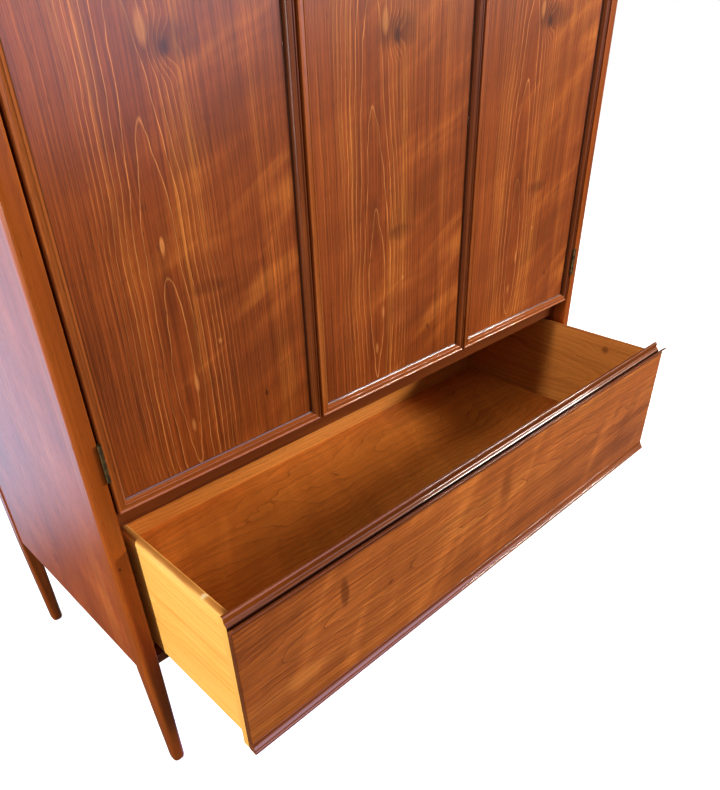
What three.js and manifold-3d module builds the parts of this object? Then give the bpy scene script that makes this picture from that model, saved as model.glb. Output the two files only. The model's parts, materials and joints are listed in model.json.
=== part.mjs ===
// A mid-century armoire: four corner posts that taper into legs, three framed leaves above,
// one deep drawer below. Millimetres, +Z up, the front faces -Y.
// The drawer stands open at rest; the origin is on the floor, in the middle of the whole outline.
import * as THREE from "three";
import { mergeVertices } from "three/addons/utils/BufferGeometryUtils.js";
import Module from "manifold-3d";

// ---------- driving dimensions ----------
const OPENING_WIDTH = 1000; // clear width between the front posts
const CASE_DEPTH = 466; // front of the leaves to back of the posts
const CASE_HEIGHT = 1600; // floor to top
const POST_WIDTH = 24; // along X
const POST_DEPTH = 28; // along Y
const LEG_HEIGHT = 213; // floor to the underside of the side panels
const LEG_TAPER_X = 5; // how much the outer side comes in by the foot
const LEG_TAPER_Y = 6; // how much the side towards the middle of the depth comes in by the foot
const TOP_THICKNESS = 24;
const TOP_OVERHANG = 3;
const TOP_EDGE_RADIUS = 4;
const TOP_LOWER_EDGE = 1; // small chamfer under the top's edge

const DOOR_BOTTOM = 490; // floor to the lower edge of the leaves
const DOOR_HEIGHT = 1080;
const DOOR_SLAB_THICKNESS = 16;
const MOULDING_WIDTH = 16;
const MOULDING_RISE = 6.5; // how far the mouldings stand in front of the veneered field
const POST_GAP = 3; // between a post and the leaf hinged on it
const MEETING_GAP = 3; // between the left leaf and the center leaf
const FOLD_GAP = 2.5; // between the center leaf and the right leaf

const RAIL_FRONT = 26.5; // how far the rails behind the leaves are set back
const RAIL_DEPTH = 21.5;
const DOOR_RAIL_BOTTOM = 454;
const TOP_RAIL_OVERLAP = 22; // how far the rail above the leaves reaches down behind them
const FLOOR_TOP = 502; // upper face of the floor inside the cabinet
const FLOOR_THICKNESS = 18;
const BOTTOM_RAIL_HEIGHT = 16;
const BOTTOM_RAIL_FRONT = 12;
const BOTTOM_RAIL_DEPTH = 22;
const SIDE_PANEL_THICKNESS = 22;
const SIDE_PANEL_INSET = 2; // from the outer face of the posts
const REAR_COVER_FRONT = 456;
const REAR_COVER_THICKNESS = 6;

const DRAWER_OPENING = 222; // how far the drawer stands out at rest
const DRAWER_SIDE_CLEARANCE = 5; // drawer front to post
const DRAWER_BOX_INSET = 12; // drawer side to post
const DRAWER_WALL = 12;
const DRAWER_SIDE_BOTTOM = 239;
const DRAWER_SIDE_TOP = 446;
const DRAWER_BACK_TOP = 440;
const DRAWER_DEPTH = 426; // behind the drawer front
const DRAWER_FLOOR_TOP = 278;
const DRAWER_FLOOR_THICKNESS = 6;
const RUNNER_LEDGE = 20; // thickness of the ledge the drawer slides on
const RUNNER_WALL_RISE = 24; // how far the runner's wall stands up beside the drawer
const RUNNER_REACH = 6; // how far the ledge goes past the drawer side
const DRAWER_PLAY_BELOW = 0.5;
const DRAWER_PLAY_BESIDE = 0.7;
const DRAWER_PLAY_ABOVE = 0.6;
const DRAWER_BACK_THICKNESS = 10;
const FACE_FRONT = 5.5; // veneered face of the drawer, behind the front of the leaves
const FACE_BACK = 13;
const FACE_BOTTOM = 248;
const GROOVE_BOTTOM = 441; // lowest line of the finger groove
const FRONT_BACK = 25;
const FRONT_BOTTOM = 231;
const FRONT_RAISE = 2; // underside of the board behind the face, above that of the moulding

const DIVIDER_THICKNESS = 18;
const SHELF_THICKNESS = 16;
const SHELF_SETBACK = 60;
const SHELF_HEIGHTS = { lower: 760, middle: 1020, upper: 1280 };
const HAT_SHELF_HEIGHT = 1420;
const HANGING_RAIL_RADIUS = 12;
const HANGING_RAIL_HEIGHT = 1372;
const HANGING_RAIL_Y = 252;
const SOCKET_BASE = 3;
const SOCKET_DEPTH = 14;
const SOCKET_RADIUS = 17;
const SOCKET_FLANGE_RADIUS = 24;
const FIT_GAP = 0.4;

const HINGE_LENGTH = 50;
const HINGE_MARGIN = 52; // leaf edge to hinge
const HINGE_PLATE = 1;
const HINGE_PLATE_DEPTH = 16;
const KNUCKLE_RADIUS = 2.6;
const KNUCKLE_SIDES = 16;
const KNUCKLE_SPLIT = 0.3; // between the two halves of a knuckle
const KNUCKLE_SINK = 0.4; // how far the case hinges' knuckles reach back behind the leaves' front
const FOLD_KNUCKLE_SINK = 0.2; // how far the fold hinges' knuckles reach in between the leaves

const HALF_OPENING = OPENING_WIDTH / 2;
const TOP_UNDERSIDE = CASE_HEIGHT - TOP_THICKNESS;
const DOOR_TOP = DOOR_BOTTOM + DOOR_HEIGHT;
const SLAB_BACK = MOULDING_RISE + DOOR_SLAB_THICKNESS;
const RAIL_BACK = RAIL_FRONT + RAIL_DEPTH;
const LEAF_WIDTH = (OPENING_WIDTH - 2 * POST_GAP - MEETING_GAP - FOLD_GAP) / 3;
const LEFT_LEAF_X = POST_GAP - HALF_OPENING;
const CENTER_LEAF_X = LEFT_LEAF_X + LEAF_WIDTH + MEETING_GAP;
const RIGHT_LEAF_X = CENTER_LEAF_X + LEAF_WIDTH + FOLD_GAP;
const MEETING_X = CENTER_LEAF_X - MEETING_GAP / 2;
const DRAWER_LIP_TIP = 1.2; // how far the grip lip stands in front of the leaves' plane
const OUTLINE_FRONT = -DRAWER_OPENING - DRAWER_LIP_TIP;
const OUTLINE_BACK = CASE_DEPTH + TOP_OVERHANG;

// ---------- materials ----------
const wood = (color, roughness) =>
  new THREE.MeshStandardMaterial({ color, roughness, metalness: 0 });
const postWood = () => wood(0x9a5a26, 0.45);
const panelVeneer = () => wood(0x8e4c2c, 0.4);
const mouldingWood = () => wood(0x5a3020, 0.35);
const drawerFrontWood = () => wood(0x9c5a2e, 0.42);
const drawerBoxWood = () => wood(0xd59a52, 0.55);
const drawerPly = () => wood(0x6a3a1e, 0.6);
const insideWood = () => wood(0xa8693c, 0.6);
const agedBrass = () =>
  new THREE.MeshStandardMaterial({ color: 0x7a6a3a, roughness: 0.45, metalness: 0.9 });

// ---------- geometry helpers ----------
const wasm = await Module();
wasm.setup();

// A closed geometry as a solid that can be joined or cut.
function solid(geometry) {
  const bare = geometry.clone();
  bare.deleteAttribute("normal");
  bare.deleteAttribute("uv");
  const merged = mergeVertices(bare, 1e-4);
  return new wasm.Manifold(
    new wasm.Mesh({
      numProp: 3,
      vertProperties: new Float32Array(merged.attributes.position.array),
      triVerts: new Uint32Array(merged.index.array),
    }),
  );
}

// The geometry of a joined or cut solid.
function geometryOf(manifold) {
  const mesh = manifold.getMesh();
  const geometry = new THREE.BufferGeometry();
  geometry.setAttribute("position", new THREE.BufferAttribute(mesh.vertProperties, 3));
  geometry.setIndex(new THREE.BufferAttribute(mesh.triVerts, 1));
  geometry.computeVertexNormals();
  return geometry;
}

// A box between two corners.
function block([x0, y0, z0], [x1, y1, z1]) {
  const geometry = new THREE.BoxGeometry(x1 - x0, y1 - y0, z1 - z0);
  return geometry.translate((x0 + x1) / 2, (y0 + y1) / 2, (z0 + z1) / 2);
}

// A closed outline of [y, z] points, given anticlockwise, carried along X from x0 to x1.
function barAlongX(outline, x0, x1) {
  const shape = new THREE.Shape(outline.map(([y, z]) => new THREE.Vector2(y, z)));
  const geometry = new THREE.ExtrudeGeometry(shape, { depth: x1 - x0, bevelEnabled: false });
  geometry.applyMatrix4(
    new THREE.Matrix4().makeBasis(
      new THREE.Vector3(0, 1, 0),
      new THREE.Vector3(0, 0, 1),
      new THREE.Vector3(1, 0, 0),
    ),
  );
  return geometry.translate(x0, 0, 0);
}

// A closed outline of [x, z] points, carried along Y from y0 to y1.
function barAlongY(outline, y0, y1) {
  const shape = new THREE.Shape(outline.map(([x, z]) => new THREE.Vector2(x, z)));
  const geometry = new THREE.ExtrudeGeometry(shape, { depth: y1 - y0, bevelEnabled: false });
  geometry.rotateX(Math.PI / 2);
  return geometry.translate(0, y1, 0);
}

// Points of an arc from one angle to the other, in degrees.
function arc([cx, cy], radius, from, to, steps) {
  const points = [];
  for (let i = 0; i <= steps; i += 1) {
    const angle = THREE.MathUtils.degToRad(from + ((to - from) * i) / steps);
    points.push([cx + radius * Math.cos(angle), cy + radius * Math.sin(angle)]);
  }
  return points;
}

// Closed rings with the same number of points, joined into one skin with flat ends.
function loft(rings) {
  const count = rings[0].length;
  const positions = rings.flat(2);
  const index = [];
  for (let r = 0; r + 1 < rings.length; r += 1) {
    for (let i = 0; i < count; i += 1) {
      const a = r * count + i;
      const b = r * count + ((i + 1) % count);
      index.push(a, b, b + count, a, b + count, a + count);
    }
  }
  const last = (rings.length - 1) * count;
  for (let i = 1; i + 1 < count; i += 1) {
    index.push(0, i + 1, i);
    index.push(last, last + i, last + i + 1);
  }
  const geometry = new THREE.BufferGeometry();
  geometry.setAttribute("position", new THREE.Float32BufferAttribute(positions, 3));
  geometry.setIndex(index);
  geometry.computeVertexNormals();
  return geometry;
}

const armoire = new THREE.Group();
const cabinet = new THREE.Group();
cabinet.position.y = -(OUTLINE_FRONT + OUTLINE_BACK) / 2;
armoire.add(cabinet);

function place(parent, name, geometry, material) {
  const mesh = new THREE.Mesh(geometry, material);
  mesh.name = name;
  parent.add(mesh);
  return mesh;
}

// ---------- posts with their legs ----------
const POST_RADIUS_OUTER = 8; // corner towards the side and the front or back of the cabinet
const POST_RADIUS_INNER = 2.5; // the other three corners
const FOOT_RADIUS = 7; // corners at the foot of the leg
const FOOT_MIN_RADIUS = 2;
const FOOT_RISE = 8; // height of the rounding at the foot
const FOOT_SHRINK = 5; // how far the rounding draws the foot in
const FOOT_STEPS = 3;
const CORNER_STEPS = 4;

// A level rectangle with rounded corners, turning anticlockwise from its corner at x0, y0.
function roundedRing(x0, x1, y0, y1, radii, z) {
  const corners = [
    [x0, y0, 1, 1, 180],
    [x1, y0, -1, 1, 270],
    [x1, y1, -1, -1, 0],
    [x0, y1, 1, -1, 90],
  ];
  return corners.flatMap(([x, y, dx, dy, start], i) => {
    const center = [x + dx * radii[i], y + dy * radii[i]];
    const points = arc(center, radii[i], start, start + 90, CORNER_STEPS);
    return points.map(([px, py]) => [px, py, z]);
  });
}

// The front left post, its inner front edge at the origin. The others are its mirror images.
function postGeometry() {
  const outer = -POST_WIDTH;
  const square = [POST_RADIUS_OUTER, POST_RADIUS_INNER, POST_RADIUS_INNER, POST_RADIUS_INNER];
  const ring = (taper, shrink, radii, z) =>
    roundedRing(
      outer + LEG_TAPER_X * taper + shrink,
      -shrink,
      shrink,
      POST_DEPTH - LEG_TAPER_Y * taper - shrink,
      radii,
      z,
    );
  const rings = [];
  for (let i = 0; i <= FOOT_STEPS; i += 1) {
    const angle = (Math.PI / 2) * (i / FOOT_STEPS);
    const shrink = FOOT_SHRINK * (1 - Math.sin(angle));
    const radius = Math.max(FOOT_RADIUS - shrink, FOOT_MIN_RADIUS);
    rings.push(ring(1, shrink, Array(4).fill(radius), FOOT_RISE * (1 - Math.cos(angle))));
  }
  const halfway = square.map((radius) => (radius + FOOT_RADIUS) / 2);
  rings.push(ring(0.5, 0, halfway, LEG_HEIGHT / 2));
  rings.push(ring(0, 0, square, LEG_HEIGHT));
  rings.push(ring(0, 0, square, TOP_UNDERSIDE));
  return loft(rings);
}

// Mirrors a geometry in X or Y and keeps its faces pointing out.
function mirrored(geometry, axis) {
  const copy = geometry.clone();
  const scale = axis === "x" ? [-1, 1, 1] : [1, -1, 1];
  copy.scale(...scale);
  const index = copy.index.array;
  for (let i = 0; i < index.length; i += 3) {
    [index[i + 1], index[i + 2]] = [index[i + 2], index[i + 1]];
  }
  copy.computeVertexNormals();
  return copy;
}

function addPosts() {
  const left = postGeometry();
  const right = mirrored(left, "x");
  const posts = [
    ["front_left_post", left, -HALF_OPENING, 0],
    ["front_right_post", right, HALF_OPENING, 0],
    ["rear_left_post", mirrored(left, "y"), -HALF_OPENING, CASE_DEPTH],
    ["rear_right_post", mirrored(right, "y"), HALF_OPENING, CASE_DEPTH],
  ];
  for (const [name, geometry, x, y] of posts) {
    place(cabinet, name, geometry, postWood()).position.set(x, y, 0);
  }
}

// ---------- the case around the posts ----------
function addSidePanels() {
  const outer = HALF_OPENING + POST_WIDTH - SIDE_PANEL_INSET;
  const inner = outer - SIDE_PANEL_THICKNESS;
  const y0 = POST_DEPTH;
  const y1 = CASE_DEPTH - POST_DEPTH;
  const left = block([-outer, y0, LEG_HEIGHT], [-inner, y1, TOP_UNDERSIDE]);
  const right = block([inner, y0, LEG_HEIGHT], [outer, y1, TOP_UNDERSIDE]);
  place(cabinet, "left_side_panel", left, panelVeneer());
  place(cabinet, "right_side_panel", right, panelVeneer());
}

// The top: a slab with eased edges all round.
function addTop() {
  const halfWidth = HALF_OPENING + POST_WIDTH + TOP_OVERHANG;
  const edge = (inset, z) => {
    const x = halfWidth - inset;
    const y0 = -TOP_OVERHANG + inset;
    const y1 = CASE_DEPTH + TOP_OVERHANG - inset;
    return roundedRing(-x, x, y0, y1, Array(4).fill(TOP_EDGE_RADIUS), z);
  };
  const easing = arc([0, 0], TOP_EDGE_RADIUS, 0, 90, 2).map(([across, up]) =>
    edge(TOP_EDGE_RADIUS - across, CASE_HEIGHT - TOP_EDGE_RADIUS + up),
  );
  const rings = [
    edge(TOP_LOWER_EDGE, TOP_UNDERSIDE),
    edge(0, TOP_UNDERSIDE + TOP_LOWER_EDGE),
    ...easing,
  ];
  place(cabinet, "top_panel", loft(rings), panelVeneer());
}

// A plain board across the whole opening.
function addBoard(name, [y0, z0], [y1, z1], material) {
  place(cabinet, name, block([-HALF_OPENING, y0, z0], [HALF_OPENING, y1, z1]), material);
}

function addRailsAndBoards() {
  const bottomRailTop = LEG_HEIGHT + BOTTOM_RAIL_HEIGHT;
  const topRailBottom = DOOR_TOP - TOP_RAIL_OVERLAP;
  addBoard("door_rail", [RAIL_FRONT, DOOR_RAIL_BOTTOM], [RAIL_BACK, FLOOR_TOP], mouldingWood());
  addBoard("top_front_rail", [RAIL_FRONT, topRailBottom], [RAIL_BACK, TOP_UNDERSIDE], mouldingWood());
  addBoard(
    "bottom_front_rail",
    [BOTTOM_RAIL_FRONT, LEG_HEIGHT],
    [BOTTOM_RAIL_FRONT + BOTTOM_RAIL_DEPTH, bottomRailTop],
    mouldingWood(),
  );
  addBoard(
    "bottom_rear_rail",
    [REAR_COVER_FRONT - BOTTOM_RAIL_DEPTH, LEG_HEIGHT],
    [REAR_COVER_FRONT, bottomRailTop],
    insideWood(),
  );
  addBoard(
    "cabinet_floor",
    [RAIL_BACK, FLOOR_TOP - FLOOR_THICKNESS],
    [REAR_COVER_FRONT, FLOOR_TOP],
    insideWood(),
  );
  addBoard(
    "rear_cover",
    [REAR_COVER_FRONT, LEG_HEIGHT],
    [REAR_COVER_FRONT + REAR_COVER_THICKNESS, TOP_UNDERSIDE],
    insideWood(),
  );
}

// ---------- what carries and guides the drawer ----------
// Each runner is L-shaped: a ledge under the drawer side and a low wall beside it.
function addRunners() {
  const ledge = DRAWER_SIDE_BOTTOM - DRAWER_PLAY_BELOW;
  const ledgeBottom = ledge - RUNNER_LEDGE;
  const wallTop = DRAWER_SIDE_BOTTOM + RUNNER_WALL_RISE;
  const wall = DRAWER_BOX_INSET - DRAWER_PLAY_BESIDE;
  const reach = DRAWER_BOX_INSET + DRAWER_WALL + RUNNER_REACH;
  const y0 = BOTTOM_RAIL_FRONT + BOTTOM_RAIL_DEPTH;
  const y1 = REAR_COVER_FRONT - BOTTOM_RAIL_DEPTH;
  const outline = [
    [0, ledgeBottom],
    [reach, ledgeBottom],
    [reach, ledge],
    [wall, ledge],
    [wall, wallTop],
    [0, wallTop],
  ];
  const leftOutline = outline.map(([x, z]) => [x - HALF_OPENING, z]);
  const rightOutline = outline.map(([x, z]) => [HALF_OPENING - x, z]).reverse();
  place(cabinet, "left_drawer_runner", barAlongY(leftOutline, y0, y1), insideWood());
  place(cabinet, "right_drawer_runner", barAlongY(rightOutline, y0, y1), insideWood());
}

// The kickers keep the drawer level when it is pulled out.
function addKickers() {
  const bottom = DRAWER_SIDE_TOP + DRAWER_PLAY_ABOVE;
  const top = FLOOR_TOP - FLOOR_THICKNESS;
  const reach = DRAWER_BOX_INSET + DRAWER_WALL;
  const inner = HALF_OPENING - reach;
  const left = block([-HALF_OPENING, RAIL_BACK, bottom], [-inner, REAR_COVER_FRONT, top]);
  const right = block([inner, RAIL_BACK, bottom], [HALF_OPENING, REAR_COVER_FRONT, top]);
  place(cabinet, "left_drawer_kicker", left, insideWood());
  place(cabinet, "right_drawer_kicker", right, insideWood());
}

// ---------- inside the cabinet ----------
function addInterior() {
  const dividerLeft = MEETING_X - DIVIDER_THICKNESS / 2;
  const dividerRight = MEETING_X + DIVIDER_THICKNESS / 2;
  const divider = block(
    [dividerLeft, RAIL_BACK, FLOOR_TOP],
    [dividerRight, REAR_COVER_FRONT, TOP_UNDERSIDE],
  );
  place(cabinet, "center_divider", divider, insideWood());
  for (const [level, z] of Object.entries(SHELF_HEIGHTS)) {
    const shelf = block(
      [-HALF_OPENING, SHELF_SETBACK, z],
      [dividerLeft, REAR_COVER_FRONT, z + SHELF_THICKNESS],
    );
    place(cabinet, `${level}_shelf`, shelf, insideWood());
  }
  const hatShelf = block(
    [dividerRight, SHELF_SETBACK, HAT_SHELF_HEIGHT],
    [HALF_OPENING, REAR_COVER_FRONT, HAT_SHELF_HEIGHT + SHELF_THICKNESS],
  );
  place(cabinet, "hat_shelf", hatShelf, insideWood());
  addHangingRail(dividerRight);
}

function addHangingRail(dividerRight) {
  const x0 = dividerRight + SOCKET_BASE + FIT_GAP;
  const x1 = HALF_OPENING - SOCKET_BASE - FIT_GAP;
  const rod = new THREE.CylinderGeometry(HANGING_RAIL_RADIUS, HANGING_RAIL_RADIUS, x1 - x0, 24);
  rod.rotateZ(Math.PI / 2);
  const rail = place(cabinet, "hanging_rail", rod, agedBrass());
  rail.position.set((x0 + x1) / 2, HANGING_RAIL_Y, HANGING_RAIL_HEIGHT);
  const bore = HANGING_RAIL_RADIUS + FIT_GAP;
  const profile = [
    [0, 0],
    [SOCKET_FLANGE_RADIUS, 0],
    [SOCKET_FLANGE_RADIUS, SOCKET_BASE],
    [SOCKET_RADIUS, SOCKET_BASE],
    [SOCKET_RADIUS, SOCKET_DEPTH],
    [bore, SOCKET_DEPTH],
    [bore, SOCKET_BASE],
    [0, SOCKET_BASE],
  ].map(([r, h]) => new THREE.Vector2(r, h));
  const socket = new THREE.LatheGeometry(profile, 24);
  const left = place(cabinet, "left_rail_socket", socket.clone().rotateZ(-Math.PI / 2), agedBrass());
  left.position.set(dividerRight, HANGING_RAIL_Y, HANGING_RAIL_HEIGHT);
  const right = place(cabinet, "right_rail_socket", socket.clone().rotateZ(Math.PI / 2), agedBrass());
  right.position.set(HALF_OPENING, HANGING_RAIL_Y, HANGING_RAIL_HEIGHT);
}

// ---------- leaves ----------
// The moulding's section: distance in from the leaf's edge, height above the field.
// From the outside: a bead, a broad flat, a second bead, then a hollow running down to the field.
const MOULDING_SECTION = [
  [0, 0],
  [0, 4.6],
  [0.7, 5.9],
  [2, MOULDING_RISE],
  [3.3, 6],
  [4, 5.2],
  [9, 5.7],
  [9.9, MOULDING_RISE],
  [10.9, MOULDING_RISE],
  [11.6, 5.6],
  [12.6, 3.6],
  [14, 2],
  [15.4, 1.2],
  [MOULDING_WIDTH, 0.9],
  [MOULDING_WIDTH, 0],
];

// A moulding strip with mitred ends: it lies along X from 0 to length,
// its section rises towards +Y from the leaf's edge, and +Z is the front.
function mitredStrip(length) {
  const count = MOULDING_SECTION.length;
  const positions = [];
  for (const [inset, rise] of MOULDING_SECTION) positions.push(inset, inset, rise);
  for (const [inset, rise] of MOULDING_SECTION) positions.push(length - inset, inset, rise);
  const index = [];
  for (let i = 0; i < count; i += 1) {
    const next = (i + 1) % count;
    index.push(i, next + count, next, i, i + count, next + count);
  }
  const contour = MOULDING_SECTION.map(([inset, rise]) => new THREE.Vector2(inset, rise));
  for (const [a, b, c] of THREE.ShapeUtils.triangulateShape(contour, [])) {
    const turn =
      (contour[b].x - contour[a].x) * (contour[c].y - contour[a].y) -
      (contour[b].y - contour[a].y) * (contour[c].x - contour[a].x);
    const [p, q] = turn > 0 ? [b, c] : [c, b];
    index.push(a, q, p, a + count, p + count, q + count);
  }
  const geometry = new THREE.BufferGeometry();
  geometry.setAttribute("position", new THREE.Float32BufferAttribute(positions, 3));
  geometry.setIndex(index);
  geometry.computeVertexNormals();
  return geometry;
}

// One leaf: a veneered slab with a strip along each edge, mitred at the corners.
function addLeaf(side, x0) {
  const leaf = new THREE.Group();
  leaf.position.set(x0, 0, DOOR_BOTTOM);
  cabinet.add(leaf);
  const slab = block([0, MOULDING_RISE, 0], [LEAF_WIDTH, SLAB_BACK, DOOR_HEIGHT]);
  place(leaf, `${side}_door_panel`, slab, panelVeneer());
  const frame = new THREE.Group();
  frame.position.set(LEAF_WIDTH / 2, MOULDING_RISE, DOOR_HEIGHT / 2);
  frame.rotation.x = Math.PI / 2;
  leaf.add(frame);
  const strips = [
    ["bottom", LEAF_WIDTH, DOOR_HEIGHT, 0],
    ["right", DOOR_HEIGHT, LEAF_WIDTH, 1],
    ["top", LEAF_WIDTH, DOOR_HEIGHT, 2],
    ["left", DOOR_HEIGHT, LEAF_WIDTH, 3],
  ];
  for (const [edge, length, across, turns] of strips) {
    const turn = new THREE.Group();
    turn.rotation.z = (Math.PI / 2) * turns;
    frame.add(turn);
    const strip = place(turn, `${side}_door_moulding_${edge}`, mitredStrip(length), mouldingWood());
    strip.position.set(-length / 2, -across / 2, 0);
  }
}

// ---------- hinges ----------
// Half a butt hinge: a plate in the gap and its half of the knuckle. The axis is the group's Z axis,
// the plate runs towards +Y at x = plateX, and upper says which half of the knuckle it carries.
function hingeHalf(plateX, upper) {
  const middle = HINGE_LENGTH / 2;
  const top = HINGE_LENGTH;
  const [z0, z1] = upper ? [middle + KNUCKLE_SPLIT / 2, top] : [0, middle - KNUCKLE_SPLIT / 2];
  const barrel = new THREE.CylinderGeometry(KNUCKLE_RADIUS, KNUCKLE_RADIUS, z1 - z0, KNUCKLE_SIDES);
  barrel.rotateX(Math.PI / 2);
  barrel.translate(0, 0, (z0 + z1) / 2);
  const clear = KNUCKLE_RADIUS + KNUCKLE_SPLIT;
  const plateBack = clear + HINGE_PLATE_DEPTH;
  const plate = block([plateX, clear, 0], [plateX + HINGE_PLATE, plateBack, HINGE_LENGTH]);
  const neck = block([plateX, 0, z0], [plateX + HINGE_PLATE, clear + HINGE_PLATE, z1]);
  return geometryOf(solid(barrel).add(solid(plate)).add(solid(neck)));
}

// A pair of hinges, one near each end of the leaf. flip turns the plates towards the front.
function addHinges(name, x, y, gap, flip, [leftHalf, rightHalf]) {
  const heights = {
    lower: DOOR_BOTTOM + HINGE_MARGIN,
    upper: DOOR_TOP - HINGE_MARGIN - HINGE_LENGTH,
  };
  for (const [level, z] of Object.entries(heights)) {
    const hinge = new THREE.Group();
    hinge.position.set(x, y, z);
    hinge.rotation.z = flip ? Math.PI : 0;
    cabinet.add(hinge);
    const near = -gap / 2;
    const far = gap / 2 - HINGE_PLATE;
    const leftX = flip ? far : near;
    const rightX = flip ? near : far;
    place(hinge, `${name}_${level}_${leftHalf}`, hingeHalf(leftX, false), agedBrass());
    place(hinge, `${name}_${level}_${rightHalf}`, hingeHalf(rightX, true), agedBrass());
  }
}

function addLeavesAndHinges() {
  addLeaf("left", LEFT_LEAF_X);
  addLeaf("center", CENTER_LEAF_X);
  addLeaf("right", RIGHT_LEAF_X);
  const leftAxisX = LEFT_LEAF_X - POST_GAP / 2;
  const rightAxisX = HALF_OPENING - POST_GAP / 2;
  const foldAxisX = RIGHT_LEAF_X - FOLD_GAP / 2;
  const axisY = KNUCKLE_SINK - KNUCKLE_RADIUS;
  const foldY = SLAB_BACK + KNUCKLE_RADIUS - FOLD_KNUCKLE_SINK;
  addHinges("left_hinge", leftAxisX, axisY, POST_GAP, false, ["case_half", "door_half"]);
  addHinges("right_hinge", rightAxisX, axisY, POST_GAP, false, ["door_half", "case_half"]);
  addHinges("fold_hinge", foldAxisX, foldY, FOLD_GAP, true, ["center_half", "right_half"]);
}

// ---------- drawer ----------
// Outlines are [y, height above a base line] with the drawer closed; the drawer's group carries
// them to where the drawer stands.

// The grip lip rises from the top of the face and leans out over it.
const LIP_OUTLINE = [
  [FACE_FRONT, 0],
  [FACE_BACK, 0],
  [10.8, 3.2],
  [8, 6.6],
  [4.6, 10],
  [1.4, 12.2],
  [-0.4, 12.8],
  [-DRAWER_LIP_TIP, 12.1],
  [-0.9, 11],
  [1.8, 9.6],
  [4.2, 7.4],
  [FACE_FRONT, 4],
];

// A rounded nose at the bottom, with a hollow running up to the face.
const FOOT_MOULDING_OUTLINE = [
  [FACE_BACK, 0],
  [FACE_BACK, FACE_BOTTOM - FRONT_BOTTOM],
  [FACE_FRONT, FACE_BOTTOM - FRONT_BOTTOM],
  [5, 13.8],
  [3.4, 10.4],
  [1.4, 8.2],
  [1.8, 7.4],
  [0.4, 7],
  [-0.7, 5.4],
  [-0.9, 3.6],
  [-0.2, 1.6],
  [1.2, 0],
];

// The board behind the face stands highest; its top steps down to the grip groove.
const FRONT_OUTLINE = [
  [FACE_BACK, FRONT_RAISE],
  [FRONT_BACK, FRONT_RAISE],
  [FRONT_BACK, 225],
  [24.3, 226.8],
  [23, 228],
  [21.2, 228],
  [19.8, 227],
  [18.8, 224.6],
  [18.6, 219.6],
  [17.6, 218],
  [15.4, 216.6],
  [13.8, 214.8],
  [FACE_BACK, 212.6],
];

function addDrawer() {
  const drawer = new THREE.Group();
  drawer.position.y = -DRAWER_OPENING;
  cabinet.add(drawer);
  const frontX = HALF_OPENING - DRAWER_SIDE_CLEARANCE;
  const strip = (outline, base) =>
    barAlongX(outline, -frontX, frontX).translate(0, 0, base);
  const face = block([-frontX, FACE_FRONT, FACE_BOTTOM], [frontX, FACE_BACK, GROOVE_BOTTOM]);
  place(drawer, "drawer_face", face, drawerFrontWood());
  place(drawer, "drawer_lip", strip(LIP_OUTLINE, GROOVE_BOTTOM), mouldingWood());
  const footMoulding = strip(FOOT_MOULDING_OUTLINE, FRONT_BOTTOM);
  place(drawer, "drawer_foot_moulding", footMoulding, mouldingWood());
  place(drawer, "drawer_front", strip(FRONT_OUTLINE, FRONT_BOTTOM), drawerFrontWood());
  addDrawerBox(drawer);
}

function addDrawerBox(drawer) {
  const outer = HALF_OPENING - DRAWER_BOX_INSET;
  const inner = outer - DRAWER_WALL;
  const y0 = FRONT_BACK;
  const y1 = FRONT_BACK + DRAWER_DEPTH;
  const backFront = y1 - DRAWER_BACK_THICKNESS;
  const round = DRAWER_WALL / 2;
  const sideOutline = (x0) => [
    [x0, DRAWER_SIDE_BOTTOM],
    [x0 + DRAWER_WALL, DRAWER_SIDE_BOTTOM],
    ...arc([x0 + round, DRAWER_SIDE_TOP - round], round, 0, 180, 8),
  ];
  place(drawer, "drawer_left_side", barAlongY(sideOutline(-outer), y0, y1), drawerBoxWood());
  place(drawer, "drawer_right_side", barAlongY(sideOutline(inner), y0, y1), drawerBoxWood());
  const back = block([-inner, backFront, DRAWER_SIDE_BOTTOM], [inner, y1, DRAWER_BACK_TOP]);
  place(drawer, "drawer_back", back, drawerBoxWood());
  const floorBottom = DRAWER_FLOOR_TOP - DRAWER_FLOOR_THICKNESS;
  const bottom = block([-inner, y0, floorBottom], [inner, backFront, DRAWER_FLOOR_TOP]);
  place(drawer, "drawer_bottom", bottom, drawerPly());
}

addPosts();
addSidePanels();
addTop();
addRailsAndBoards();
addRunners();
addKickers();
addInterior();
addLeavesAndHinges();
addDrawer();

export default armoire;
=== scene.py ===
"""The armoire's looks: procedural woods, aged brass, fine mouldings, soft studio light."""

import json
import math
import random
from collections import namedtuple

import bmesh
import bpy
from mathutils import Matrix, Vector

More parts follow.
